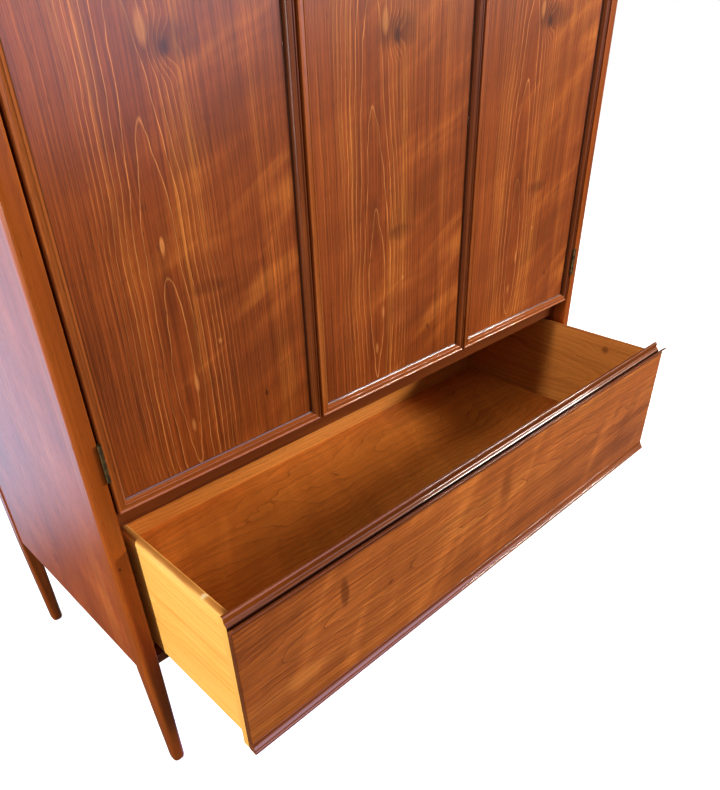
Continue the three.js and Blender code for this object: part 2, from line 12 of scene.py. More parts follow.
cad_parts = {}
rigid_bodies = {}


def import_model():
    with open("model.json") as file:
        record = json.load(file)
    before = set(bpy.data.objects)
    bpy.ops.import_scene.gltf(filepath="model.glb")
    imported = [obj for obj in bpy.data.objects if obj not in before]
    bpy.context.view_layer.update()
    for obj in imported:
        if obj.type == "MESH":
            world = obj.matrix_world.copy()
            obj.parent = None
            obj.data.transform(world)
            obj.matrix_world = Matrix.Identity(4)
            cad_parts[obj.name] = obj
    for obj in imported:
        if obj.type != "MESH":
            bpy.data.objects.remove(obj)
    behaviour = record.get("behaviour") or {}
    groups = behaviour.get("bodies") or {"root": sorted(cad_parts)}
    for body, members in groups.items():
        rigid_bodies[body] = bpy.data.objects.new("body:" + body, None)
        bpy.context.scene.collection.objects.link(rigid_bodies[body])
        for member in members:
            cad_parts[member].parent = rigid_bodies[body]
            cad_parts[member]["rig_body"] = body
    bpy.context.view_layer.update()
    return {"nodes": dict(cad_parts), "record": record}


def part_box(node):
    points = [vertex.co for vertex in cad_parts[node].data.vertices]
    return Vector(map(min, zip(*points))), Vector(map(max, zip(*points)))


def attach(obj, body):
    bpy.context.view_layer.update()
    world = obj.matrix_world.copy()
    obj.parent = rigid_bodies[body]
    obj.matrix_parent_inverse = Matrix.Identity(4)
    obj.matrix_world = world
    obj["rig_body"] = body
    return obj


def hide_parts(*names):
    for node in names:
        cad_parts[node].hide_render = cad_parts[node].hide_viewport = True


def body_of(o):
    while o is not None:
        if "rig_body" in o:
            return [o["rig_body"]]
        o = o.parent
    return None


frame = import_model()
NODES = frame["nodes"]
SLOTS = {row["node"]: row["material_slot"] for row in frame["record"]["subparts"]}


def new_piece(name, bm, finish):
    """Turns a finished bmesh into an object of the scene, with one material."""
    mesh = bpy.data.meshes.new(name)
    bm.to_mesh(mesh)
    bm.free()
    mesh.materials.append(finish)
    piece = bpy.data.objects.new(name, mesh)
    bpy.context.scene.collection.objects.link(piece)
    return piece


# ---------- colours ----------
def channel(value):
    value /= 255
    return value / 12.92 if value <= 0.04045 else ((value + 0.055) / 1.055) ** 2.4


def rgb(red, green, blue):
    """A colour given as it looks on a screen, as the linear colour a shader takes."""
    return (channel(red), channel(green), channel(blue), 1.0)


# ---------- a small way of writing node trees ----------
class Graph:
    """One material's nodes. Values are sockets or plain numbers."""

    def __init__(self, name):
        self.material = bpy.data.materials.new(name)
        self.material.use_nodes = True
        self.tree = self.material.node_tree
        self.tree.nodes.clear()
        output = self.tree.nodes.new("ShaderNodeOutputMaterial")
        self.shader = self.tree.nodes.new("ShaderNodeBsdfPrincipled")
        self.tree.links.new(self.shader.outputs[0], output.inputs[0])

    def put(self, socket, value):
        if isinstance(value, bpy.types.NodeSocket):
            self.tree.links.new(value, socket)
        elif value is not None:
            socket.default_value = value

    def math(self, operation, *values):
        node = self.tree.nodes.new("ShaderNodeMath")
        node.operation = operation
        for socket, value in zip(node.inputs, values):
            self.put(socket, value)
        return node.outputs[0]

    def add(self, a, b):
        return self.math("ADD", a, b)

    def sub(self, a, b):
        return self.math("SUBTRACT", a, b)

    def mul(self, a, b):
        return self.math("MULTIPLY", a, b)

    def power(self, a, b):
        return self.math("POWER", a, b)

    def length(self, a, b):
        """How long the vector (a, b) is."""
        return self.math("SQRT", self.add(self.mul(a, a), self.mul(b, b)))

    def smooth(self, value, low, high, to_low=0.0, to_high=1.0):
        """A smooth step of value from low to high."""
        node = self.tree.nodes.new("ShaderNodeMapRange")
        node.interpolation_type = "SMOOTHSTEP"
        for socket, given in zip(node.inputs, (value, low, high, to_low, to_high)):
            self.put(socket, given)
        return node.outputs[0]

    def vector(self, x, y, z):
        node = self.tree.nodes.new("ShaderNodeCombineXYZ")
        for socket, value in zip(node.inputs, (x, y, z)):
            self.put(socket, value)
        return node.outputs[0]

    def noise(self, vector, detail=2.0, roughness=0.5, distortion=0.0):
        """Noise from about -0.5 to 0.5, with one lump to each unit of the vector."""
        node = self.tree.nodes.new("ShaderNodeTexNoise")
        self.put(node.inputs["Vector"], vector)
        node.inputs["Scale"].default_value = 1.0
        node.inputs["Detail"].default_value = detail
        node.inputs["Roughness"].default_value = roughness
        node.inputs["Distortion"].default_value = distortion
        return self.sub(node.outputs["Fac"], 0.5)

    def mix(self, factor, a, b):
        node = self.tree.nodes.new("ShaderNodeMix")
        node.data_type = "RGBA"
        node.clamp_factor = True
        self.put(node.inputs[0], factor)
        self.put(node.inputs[6], a)
        self.put(node.inputs[7], b)
        return node.outputs[2]

    def shade(self, colour, factor):
        """The colour made lighter or darker by a factor."""
        node = self.tree.nodes.new("ShaderNodeVectorMath")
        node.operation = "SCALE"
        self.put(node.inputs[0], colour)
        self.put(node.inputs["Scale"], factor)
        return node.outputs[0]

    def position(self):
        """The point on the object at rest, in the row frame, in metres."""
        source = self.tree.nodes.new("ShaderNodeTexCoord")
        split = self.tree.nodes.new("ShaderNodeSeparateXYZ")
        self.tree.links.new(source.outputs["Object"], split.inputs[0])
        return dict(zip("XYZ", split.outputs))

    def spot(self, a, c, at, size):
        """Distance from a spot, in its own half sizes, across and along the grain."""
        da = self.mul(self.sub(a, at[0]), 1 / size[0])
        dc = self.mul(self.sub(c, at[1]), 1 / size[1])
        return self.length(da, dc)

    def bump(self, height, strength, distance):
        node = self.tree.nodes.new("ShaderNodeBump")
        node.inputs["Strength"].default_value = strength
        node.inputs["Distance"].default_value = distance
        self.put(node.inputs["Height"], height)
        return node.outputs[0]

    def finish(self, colour, roughness, normal, **constants):
        self.put(self.shader.inputs["Base Color"], colour)
        self.put(self.shader.inputs["Roughness"], roughness)
        self.put(self.shader.inputs["Normal"], normal)
        for name, value in constants.items():
            self.shader.inputs[name.replace("_", " ")].default_value = value
        return self.material


# ---------- woods ----------
# Each palette: the ground, its darker and lighter drift, the thin growth lines and the pores.
VENEER = dict(
    ground=rgb(139, 65, 23),
    dark=rgb(86, 35, 12),
    light=rgb(194, 116, 46),
    line=rgb(214, 136, 72),
    pore=rgb(52, 18, 8),
)
SIDE_VENEER = dict(
    ground=rgb(146, 66, 24),
    dark=rgb(104, 42, 14),
    light=rgb(172, 92, 38),
    line=rgb(208, 126, 62),
    pore=rgb(74, 28, 10),
)
POST = dict(
    ground=rgb(150, 72, 20),
    dark=rgb(96, 42, 11),
    light=rgb(184, 94, 28),
    line=rgb(160, 80, 26),
    pore=rgb(52, 23, 8),
)
MOULDING = dict(
    ground=rgb(154, 78, 30),
    dark=rgb(86, 38, 14),
    light=rgb(180, 102, 46),
    line=rgb(178, 98, 44),
    pore=rgb(40, 16, 7),
)
LIP = dict(
    ground=rgb(122, 60, 21),
    dark=rgb(70, 31, 11),
    light=rgb(168, 92, 36),
    line=rgb(180, 100, 42),
    pore=rgb(44, 18, 7),
)
# Painted shade: a darker copy of the moulding wood, for the right mouldings, which face away from the
# light, and for the rails, recessed in shadow.
SHADED_MOULDING = dict(
    ground=rgb(106, 50, 20),
    dark=rgb(66, 28, 11),
    light=rgb(146, 76, 32),
    line=rgb(152, 80, 34),
    pore=rgb(36, 14, 6),
)
DRAWER_FRONT = dict(
    ground=rgb(172, 92, 37),
    dark=rgb(116, 53, 19),
    light=rgb(214, 130, 58),
    line=rgb(106, 48, 18),
    pore=rgb(76, 34, 12),
)
DRAWER_BOX = dict(
    ground=rgb(240, 178, 86),
    dark=rgb(222, 150, 62),
    light=rgb(248, 200, 116),
    line=rgb(212, 138, 58),
    pore=rgb(188, 118, 50),
)
DRAWER_INNER = dict(
    ground=rgb(204, 130, 56),
    dark=rgb(166, 92, 34),
    light=rgb(224, 152, 76),
    line=rgb(148, 80, 30),
    pore=rgb(120, 64, 24),
)
# Painted shade: a darker copy of the drawer box wood, for the right side, which stands in shade.
DRAWER_BOX_SHADED = dict(
    ground=rgb(180, 108, 43),
    dark=rgb(140, 74, 26),
    light=rgb(200, 128, 56),
    line=rgb(124, 64, 22),
    pore=rgb(96, 48, 17),
)
DRAWER_FLOOR = dict(
    ground=rgb(200, 112, 40),
    dark=rgb(152, 76, 25),
    light=rgb(222, 138, 56),
    line=rgb(118, 62, 22),
    pore=rgb(92, 46, 16),
)
INSIDE = dict(
    ground=rgb(172, 108, 60),
    dark=rgb(140, 80, 42),
    light=rgb(194, 132, 80),
    line=rgb(144, 84, 44),
    pore=rgb(112, 66, 36),
)


# What is placed on a board, in the row frame, in metres. A place or size is (across, along the grain).
Knot = namedtuple("Knot", "at size push")  # push: how far the growth lines bend round it
Mark = namedtuple("Mark", "at size tint strength")
Ends = namedtuple("Ends", "low high wide strength tint")  # a tint at one or both ends of the grain
GrimeAndShade = namedtuple("GrimeAndShade", "clean dirty strength")  # from where to where dirt and painted shade gather, through the board
BEYOND = 9.0  # an end farther along than any piece

# How fine each noise is: lumps to the metre, across and along the grain.
LUMPS = dict(
    tone=(5, 1.7),
    large=(9, 4.5),
    small=(18, 13),
    streak=(60, 1.2),
    rib_wide=(310, 3),
    rib_fine=(820, 14),
    pore=(1500, 70),
)
SEED_STEP = 3.17  # metres along the noises from one seed to the next
HEART = 0.004  # half width of the lines' rounded tops at the middle of a board
CREST = 0.05  # the same along the grain
CROWDING = 1.6  # the power by which lines crowd together away from the middle
RIB_DEPTH = 0.0004
DIRT_AND_SHADE_STRAYS = 0.0006  # how far the edge of the dirt and painted shade wanders
SHEEN_LEAN = math.radians(28)  # the painted sheen bands of chatoyance lean this far from the grain
SIDE_BAND = (-0.12, 0.10)  # where the painted sheen bands of a one-sided figure fade in, across from its heart


class Board:
    """A board's own directions, and the noises that follow its grain."""

    def __init__(self, g, axes, origin, seed):
        self.g = g
        self.place = g.position()
        self.a, self.b, self.c = (
            g.sub(self.place[axis], value) for axis, value in zip(axes, origin)
        )
        self.across, self.through, self.along = (self.place[axis] for axis in axes)
        self.seeded = g.add(self.c, seed * SEED_STEP)

    def noise(self, kind, detail=2.0, roughness=0.5):
        """Noise stretched along the grain."""
        g = self.g
        across, along = LUMPS[kind]
        vector = g.vector(g.mul(self.a, across), g.mul(self.b, across), g.mul(self.seeded, along))
        return g.noise(vector, detail, roughness)


def sheen(g, board, rib, one_sided):
    """Painted sheen: the bands of chatoyance, how brightly each point glows, and the same combed by the
    ribs.
    """
    cos, sin = math.cos(SHEEN_LEAN), math.sin(SHEEN_LEAN)
    u = g.add(g.mul(board.a, cos), g.mul(board.seeded, sin))
    v = g.sub(g.mul(board.seeded, cos), g.mul(board.a, sin))
    band = g.noise(g.vector(g.mul(u, 6), g.mul(v, 24), board.b), 2.0, 0.5, 0.6)
    broad = g.noise(g.vector(g.mul(u, 2.5), g.mul(v, 7), g.add(board.b, 4)))
    where = g.smooth(board.a, *SIDE_BAND, 0.25, 1.0) if one_sided else 1.0
    glow = g.mul(g.add(g.mul(band, 1.2), g.mul(broad, 0.9)), where)
    comb = g.add(1.0, g.mul(rib, 1.6))
    return glow, g.mul(glow, comb)


def wood(
    name,
    palette,
    axes,
    origin=(0, 0, 0),
    figure=560.0,
    rise=6.5,
    middle=0.15,
    wander=0.02,
    wave=1.0,
    line=0.6,
    line_width=0.0006,
    ribs=0.20,
    pores=0.4,
    sheen_bands=0.0,
    one_sided=False,
    drift=0.8,
    depth=0.0,
    roughness=0.36,
    coat=0.35,
    coat_roughness=0.16,
    relief=0.25,
    knots=(),
    marks=(),
    seed=0.0,
    ends=None,
    grime=None,
    reach=0.11,
    far_line=0.3,
):
    """A lacquered wood. axes names the row axes across, through and along the board.

    The growth lines are the contours of one field: it rises away from the middle of the board,
    so lines are dense at the sides and wide apart in the middle, where they close in arches.
    figure and rise say how steep it is across and along, middle where the arches turn, and
    reach how far from the heart the lines stay strong.
    """
    g = Graph(name)
    board = Board(g, axes, origin, seed)
    a, b, c, seeded = board.a, board.b, board.c, board.seeded

    swing = g.noise(g.vector(g.add(a, seed), g.mul(b, 2), g.mul(seeded, 2.6)))
    away = g.length(g.sub(a, g.mul(swing, wander * 2)), HEART)
    if depth:
        away = g.length(away, g.add(b, depth))
    climb = g.mul(g.length(g.sub(c, middle), CREST), rise)
    small = board.noise("small")
    field = g.add(g.mul(g.power(away, CROWDING), figure), climb)
    field = g.add(field, g.mul(board.noise("large"), 2.2 * wave))
    field = g.add(field, g.mul(small, 1.2 * wave))
    knot_mask = 0.0
    for knot in knots:
        distance = g.spot(board.across, board.along, knot.at, knot.size)
        field = g.add(field, g.mul(g.smooth(distance, 2.6, 0.0), knot.push))
        knot_mask = g.math("MAXIMUM", knot_mask, g.smooth(distance, 1.0, 0.2))

    turn = g.math("FRACT", field)
    peak = g.math("ABSOLUTE", g.sub(g.mul(turn, 2), 1))
    slope = g.add(g.mul(g.power(away, CROWDING - 1), CROWDING * figure), rise)
    width = g.math("MINIMUM", g.mul(slope, 2 * line_width), 0.8)
    ring = g.smooth(peak, g.sub(1.0, width), 1.0)
    fade = g.smooth(g.noise(g.vector(g.mul(a, 30), b, g.mul(seeded, 3))), -0.3, 0.15)
    near_heart = g.smooth(away, reach * 0.3, reach, line, line * far_line)
    ring_strength = g.mul(g.add(g.mul(fade, 0.7), 0.3), near_heart)

    rib = g.add(g.mul(board.noise("rib_wide", 1.0), 1.3), board.noise("rib_fine"))
    pore_mask = g.smooth(board.noise("pore", 1.0), 0.10, 0.22)
    tone = board.noise("tone", 3.0, 0.6)
    streak = board.noise("streak")
    shift = g.add(g.add(g.mul(tone, 1.6), g.mul(streak, 0.8)), g.mul(g.sub(turn, 0.5), 0.25))

    colour = g.mix(g.smooth(shift, 0.05, -0.55, 0.0, drift), palette["ground"], palette["dark"])
    colour = g.mix(g.smooth(shift, 0.0, 0.55, 0.0, drift), colour, palette["light"])
    colour = g.mix(g.mul(ring, ring_strength), colour, palette["line"])
    shade = g.add(1.0, g.mul(rib, ribs * 2))
    # painted sheen: the bands of chatoyance lighten and darken the colour
    if sheen_bands:
        glow, combed = sheen(g, board, rib, one_sided)
        shade = g.add(shade, g.mul(combed, sheen_bands))
        colour = g.mix(g.smooth(glow, 0.0, 0.5, 0.0, sheen_bands * 0.7), colour, palette["light"])
    colour = g.shade(colour, shade)
    colour = g.mix(g.mul(pore_mask, pores), colour, palette["pore"])
    for mark in marks:
        edge = g.add(g.spot(board.across, board.along, mark.at, mark.size), g.mul(small, 1.2))
        colour = g.mix(g.smooth(edge, 1.1, 0.3, 0.0, mark.strength), colour, mark.tint)
    if knots:
        colour = g.mix(g.mul(knot_mask, 0.75), colour, palette["pore"])
    if ends:
        near_low = g.smooth(board.along, ends.low + ends.wide, ends.low)
        near_high = g.smooth(board.along, ends.high - ends.wide, ends.high)
        colour = g.mix(
            g.mul(g.math("MAXIMUM", near_low, near_high), ends.strength), colour, ends.tint
        )
    # dirt and painted shade: the colour darkens towards the pores' colour through the board, in creases
    # and at joints
    if grime:
        reached = g.add(board.through, g.mul(streak, DIRT_AND_SHADE_STRAYS))
        dirt_and_shade = g.smooth(reached, grime.clean, grime.dirty, 0.0, grime.strength)
        colour = g.mix(dirt_and_shade, colour, palette["pore"])
    height = g.sub(g.mul(rib, 0.5), g.mul(pore_mask, 0.6))
    rough = g.add(g.mul(g.sub(pore_mask, g.mul(tone, 0.8)), 0.10), roughness)
    return g.finish(
        colour,
        rough,
        g.bump(height, relief, RIB_DEPTH),
        Coat_Weight=coat,
        Coat_Roughness=coat_roughness,
        Coat_IOR=1.5,
        IOR=1.45,
        Specular_IOR_Level=0.14,
    )


def brass(name):
    g = Graph(name)
    place = g.position()
    fine = g.vector(*(g.mul(place[axis], 900) for axis in "XYZ"))
    wide = g.vector(*(g.mul(place[axis], 160) for axis in "XYZ"))
    patina = g.add(g.noise(wide, 3.0), g.mul(g.noise(fine, 2.0), 0.5))
    colour = g.mix(g.smooth(patina, -0.15, 0.2), rgb(74, 60, 40), rgb(138, 116, 70))
    rough = g.smooth(patina, -0.3, 0.3, 0.55, 0.32)
    return g.finish(colour, rough, g.bump(patina, 0.3, 0.0003), Metallic=0.85)


def paint(piece, material):
    piece.data.materials.clear()
    piece.data.materials.append(material)


# ---------- fine profiles ----------
# Sections in millimetres. The leaf moulding's: in from the leaf's edge, height above the field.
LEAF_MOULDING = (
    (0, 0), (0, 4.6), (0.7, 5.9), (2, 6.5), (3.3, 6), (4, 5.2), (9, 5.7), (9.9, 6.5),
    (10.9, 6.5), (11.6, 5.6), (12.6, 3.6), (14, 2), (15.4, 1.2), (16, 0.9), (16, 0),
)
# The drawer's: back from the piece's foremost line, height above its underside.
DRAWER_SECTIONS = {
    "drawer_lip": (
        (7, 0), (14.5, 0), (12.3, 3.2), (9.5, 6.6), (6.1, 10), (2.9, 12.2), (1.1, 12.8),
        (0, 12.1), (0.6, 11), (3.3, 9.6), (5.7, 7.4), (7, 4),
    ),
    "drawer_foot_moulding": (
        (13.9, 0), (13.9, 17), (6.4, 17), (5.9, 13.8), (4.3, 10.4), (2.3, 8.2), (2.7, 7.4),
        (1.3, 7), (0.2, 5.4), (0, 3.6), (0.7, 1.6), (2.1, 0),
    ),
    "drawer_front": (
        (0, 0), (12, 0), (12, 223), (11.3, 224.8), (10, 226), (8.2, 226), (6.8, 225),
        (5.8, 222.6), (5.6, 217.6), (4.6, 216), (2.4, 214.6), (0.8, 212.8), (0, 210.6),
    ),
}
ROUND = 0.9  # how far from a corner its rounding starts
ROUND_STEPS = 3
STRIP_CUTS = 48  # along each strip
HAND = 0.00002  # how far hand sanding strays from the line
SWAYS = (7, 17, 41)  # how often it strays, in radians over a strip
CREASE = math.radians(50)  # a section's corners stay sharp above this
STANDS_FREE = 0.001  # lines of a strip that are higher than this stray, the others lie on the leaf


def rounded(outline, sharp=()):
    """The outline with each corner turned into a short curve, apart from the sharp ones."""
    points = []
    count = len(outline)
    for i, corner in enumerate(outline):
        corner = Vector(corner)
        if i in sharp:
            points.append(corner)
            continue
        before = Vector(outline[i - 1]) - corner
        after = Vector(outline[(i + 1) % count]) - corner
        start = corner + before.normalized() * min(ROUND, before.length * 0.45)
        end = corner + after.normalized() * min(ROUND, after.length * 0.45)
        for step in range(ROUND_STEPS + 1):
            t = step / ROUND_STEPS
            points.append(start * (1 - t) ** 2 + corner * (2 * t * (1 - t)) + end * t**2)
    return points


def bar(name, lines, outward, finish, node):
    """A moulding in place of a node. Each line runs from end to end, and all go round its section."""
    stray = random.Random(name)
    phases = [stray.uniform(0, math.tau) for _ in SWAYS]
    bm = bmesh.new()
    rings = []
    for step in range(STRIP_CUTS + 1):
        t = step / STRIP_CUTS
        sway = sum(math.sin(phase + t * wave) for phase, wave in zip(phases, SWAYS))
        sway *= HAND / len(SWAYS)
        ring = []
        for start, end, free in lines:
            point = start.lerp(end, t)
            ring.append(bm.verts.new(point + outward * (sway if free else 0)))
        rings.append(ring)
    count = len(lines)
    for ring, following in zip(rings, rings[1:]):
        for i in range(count):
            j = (i + 1) % count
            bm.faces.new((ring[i], ring[j], following[j], following[i]))
    bm.faces.new(rings[0])
    bm.faces.new(rings[-1])
    bmesh.ops.recalc_face_normals(bm, faces=bm.faces)
    for face in bm.faces:
        face.smooth = True
    piece = new_piece(name, bm, finish)
    piece.data.set_sharp_from_angle(angle=CREASE)
    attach(piece, body_of(NODES[node])[0])
    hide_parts(node)


def replace_strip(side, edge, finish):
    """A leaf's moulding strip with a finely rounded section and mitred ends."""
    low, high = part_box(f"{side}_door_panel")
    count = len(LEAF_MOULDING)
    lines = []
    for inset, rise in rounded(LEAF_MOULDING, sharp=(0, count - 1)):
        inset, rise = inset / 1000, rise / 1000
        x = (low.x + inset, high.x - inset)
        z = (low.z + inset, high.z - inset)
        ends = {
            "bottom": ((x[0], z[0]), (x[1], z[0])),
            "top": ((x[0], z[1]), (x[1], z[1])),
            "left": ((x[0], z[0]), (x[0], z[1])),
            "right": ((x[1], z[0]), (x[1], z[1])),
        }[edge]
        start, end = (Vector((px, low.y - rise, pz)) for px, pz in ends)
        lines.append((start, end, rise > STANDS_FREE))
    node = f"{side}_door_moulding_{edge}"
    bar(f"{node}_profile", lines, Vector((0, -1, 0)), finish, node)


def replace_bar(node, section, finish):
    """A bar along the drawer's front with a finely rounded section."""
    low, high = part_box(node)
    lines = []
    for back, up in rounded(section):
        y, z = low.y + back / 1000, low.z + up / 1000
        lines.append((Vector((low.x, y, z)), Vector((high.x, y, z)), True))
    bar(f"{node}_profile", lines, Vector((0, 0, 1)), finish, node)


# ---------- hinge screws ----------
SCREW_RADIUS = 0.0019
SCREW_TOP = 0.82  # how wide a head is on top, beside its foot
SCREW_HEAD = 0.00012  # how far a head stands above its plate
SCREW_SLOT = 0.0006
SCREW_STEPS = 8  # round half a head
SCREW_HEIGHTS = (0.14, 0.5, 0.86)  # along the plate
KNUCKLE = 0.0052  # from the knuckle's outside to where the plate starts
NEAR = 0.0001  # vertices this close to the plate's far edge belong to it


def plate_place(node):
    """Which way a hinge plate faces, where its face is, and where its screws stand across it."""
    low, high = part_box(node)
    far, near = (low.y, high.y) if node.startswith("fold") else (high.y, low.y)
    plate = [v.co.x for v in NODES[node].data.vertices if abs(v.co.y - far) < NEAR]
    x0, x1 = min(plate), max(plate)
    outward = 1 if x0 + x1 < low.x + high.x else -1
    across = (far + near + math.copysign(KNUCKLE, far - near)) / 2
    return outward, x1 if outward > 0 else x0, across


def half_head(bm, at, outward, angle):
    """One half of a slotted head: a low half disc on one side of the slot."""
    cos, sin = math.cos(angle), math.sin(angle)
    foot, top = [], []
    for ring, scale, lift in ((foot, 1.0, 0.0), (top, SCREW_TOP, SCREW_HEAD)):
        for step in range(SCREW_STEPS + 1):
            around = math.pi * step / SCREW_STEPS
            u = math.cos(around) * SCREW_RADIUS * scale
            v = math.sin(around) * SCREW_RADIUS * scale + SCREW_SLOT / 2
            offset = Vector((outward * lift, u * cos - v * sin, u * sin + v * cos))
            ring.append(bm.verts.new(at + offset))
    bm.faces.new(foot)
    bm.faces.new(top)
    count = len(foot)
    for i in range(count):
        j = (i + 1) % count
        bm.faces.new((foot[i], foot[j], top[j], top[i]))


def hinge_screws(finish):
    """Slotted screws on each hinge plate, on the face that shows when the leaf stands open."""
    stray = random.Random(5)
    for node in sorted(name for name in NODES if "hinge" in name):
        low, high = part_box(node)
        outward, face, across = plate_place(node)
        bm = bmesh.new()
        for height in SCREW_HEIGHTS:
            at = Vector((face, across, low.z + (high.z - low.z) * height))
            turn = stray.uniform(0, math.pi)
            for half in (0, math.pi):
                half_head(bm, at, outward, turn + half)
        bmesh.ops.recalc_face_normals(bm, faces=bm.faces)
        piece = new_piece(f"{node}_screws", bm, finish)
        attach(piece, body_of(NODES[node])[0])


# ---------- which wood goes where ----------
# Which stretch of the noises each kind of piece is cut from. Pieces of one kind follow on by ones.
SEEDS = dict(
    post=20, side=31, top=37, rail=41, face=47, bar=51, drawer_side=56, back=61, floor=63, inside=70
)
LEAF_SEED_STEP = 0.04  # leaves of one flitch: nearly the same stretch
LEAVES = {"left": 0.0, "center": -0.003, "right": 0.002}  # how far each leaf's figure is shifted
HEART_LEFT = 0.038  # the figure's heart lies this far left of a leaf's middle
LEG_SHADE = 0.42  # painted shade and age darken the posts from this height down to the floor
INSIDE_AXES = {
    "bottom_rear_rail": "ZYX", "rear_cover": "XYZ", "cabinet_floor": "YZX",
    "left_drawer_runner": "ZXY", "right_drawer_runner": "ZXY",
    "left_drawer_kicker": "ZXY", "right_drawer_kicker": "ZXY",
    "center_divider": "YXZ", "lower_shelf": "YZX", "middle_shelf": "YZX",
    "upper_shelf": "YZX", "hat_shelf": "YZX",
}
MATT = dict(roughness=0.5, coat=0.15)  # thinly finished wood


def center_of(node):
    low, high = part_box(node)
    return (low + high) / 2


def leaf_material(side, seed):
    """The leaf's veneer: all three leaves were cut from one flitch, so they share their figure."""
    low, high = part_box(f"{side}_door_panel")
    heart = (low.x + high.x) / 2 - HEART_LEFT + LEAVES[side]
    foot = low.z + LEAVES[side]

    def at(across, up):
        return heart + across, foot + up

    return wood(
        f"veneer_{side}",
        VENEER,
        "XYZ",
        (heart, low.y, foot),
        seed=seed,
        wave=0.7,
        rise=7.2,
        sheen_bands=0.75,
        one_sided=True,
        ribs=0.52,
        line=0.95,
        line_width=0.00075,
        reach=0.085,
        far_line=0.12,
        pores=0.55,
        coat=0.6,
        knots=(
            Knot(at(0.040, 0.472), (0.009, 0.012), 2.2),
            Knot(at(0.114, 0.074), (0.004, 0.007), 1.0),
        ),
        marks=(
            Mark(at(0.046, 0.478), (0.050, 0.022), VENEER["pore"], 0.45),
            Mark(at(0.052, 0.236), (0.034, 0.012), VENEER["pore"], 0.35),
            Mark(at(-0.002, 0.250), (0.010, 0.050), VENEER["dark"], 0.45),
            Mark(at(0.019, 0.488), (0.0065, 0.016), VENEER["line"], 0.5),
            Mark(at(0.012, 0.126), (0.0035, 0.013), VENEER["line"], 0.6),
            Mark(at(-0.002, 0.072), (0.0035, 0.011), VENEER["line"], 0.5),
            Mark(at(0.054, 0.168), (0.0035, 0.005), VENEER["line"], 0.5),
        ),
    )


def straight(name, palette, axes, node, seed, **changes):
    """Solid wood with quiet, straight grain that runs through the node's middle."""
    at = center_of(node)
    origin = [getattr(at, axis.lower()) for axis in axes]
    origin[0] += 0.03 + 0.02 * math.sin(seed * 5)
    settings = dict(
        figure=180.0,
        rise=0.8,
        wander=0.01,
        wave=0.35,
        line=0.35,
        depth=0.05,
        seed=seed,
        ribs=0.09,
        relief=0.08,
    )
    settings.update(changes)
    return wood(name, palette, axes, origin, **settings)


def paint_leaves():
    for index, side in enumerate(LEAVES):
        paint(NODES[f"{side}_door_panel"], leaf_material(side, LEAF_SEED_STEP * index))
        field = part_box(f"{side}_door_panel")[0].y
        for turn, edge in enumerate(("bottom", "top", "left", "right")):
            node = f"{side}_door_moulding_{edge}"
            finish = straight(
                node,
                # the right mouldings take the copy of the moulding wood with painted shade
                SHADED_MOULDING if edge == "right" else MOULDING,
                "ZYX" if edge in ("bottom", "top") else "XYZ",
                node,
                index * 4.0 + turn,
                roughness=0.3,
                coat=0.6,
                coat_roughness=0.07,
                relief=0.03,
                # dirt and painted shade in the crease where the moulding meets the field
                grime=GrimeAndShade(field - 0.0030, field - 0.0012, 0.75),
            )
            paint(NODES[node], finish)
            replace_strip(side, edge, finish)


def paint_posts():
    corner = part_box("front_left_post")[0]
    dents = (
        Mark((corner.x + 0.0086, 0.415), (0.0022, 0.004), POST["pore"], 0.8),
        Mark((corner.x + 0.0171, 0.168), (0.0020, 0.003), POST["pore"], 0.9),
    )
    posts = ("front_left_post", "front_right_post", "rear_left_post", "rear_right_post")
    for index, node in enumerate(posts):
        finish = straight(
            node,
            POST,
            "XYZ",
            node,
            SEEDS["post"] + index,
            roughness=0.34,
            line=0.5,
            ribs=0.16,
            ends=Ends(0.0, BEYOND, LEG_SHADE, 0.55, POST["dark"]),
            marks=dents if node == "front_left_post" else (),
        )
        paint(NODES[node], finish)


def paint_case():
    for index, node in enumerate(("left_side_panel", "right_side_panel")):
        at = center_of(node)
        heart = (at.y + 0.02, at.x, 0.2)
        finish = wood(
            node, SIDE_VENEER, "YXZ", heart, seed=SEEDS["side"] + index, sheen_bands=0.35, ribs=0.25
        )
        paint(NODES[node], finish)
    at = center_of("top_panel")
    finish = wood(
        "top_panel", VENEER, "YZX", (at.y, at.z, 0.1), seed=SEEDS["top"], sheen_bands=0.4
    )
    paint(NODES["top_panel"], finish)
    for index, node in enumerate(("door_rail", "top_front_rail", "bottom_front_rail")):
        # the rails take the copy of the moulding wood with painted shade, for the shadow they stand in
        paint(NODES[node], straight(node, SHADED_MOULDING, "ZYX", node, SEEDS["rail"] + index))


def drawer_face_material():
    low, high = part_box("drawer_face")
    middle = center_of("drawer_face")

    def at(up, along):
        return low.z + up, low.x + along

    return wood(
        "drawer_face",
        DRAWER_FRONT,
        "ZYX",
        (middle.z + 0.01, middle.y, -0.25),
        figure=420.0,
        rise=9.0,
        middle=0.1,
        wave=1.7,
        line=0.75,
        line_width=0.0011,
        far_line=0.5,
        ribs=0.42,
        sheen_bands=0.5,
        seed=SEEDS["face"],
        marks=(
            Mark(at(0.145, 0.165), (0.026, 0.008), DRAWER_FRONT["pore"], 0.6),
            Mark(at(0.052, 0.095), (0.016, 0.050), DRAWER_FRONT["light"], 0.5),
            Mark(at(0.132, 0.505), (0.050, 0.020), DRAWER_FRONT["dark"], 0.5),
        ),
        ends=Ends(low.x, high.x, 0.0012, 0.8, DRAWER_FRONT["pore"]),
    )


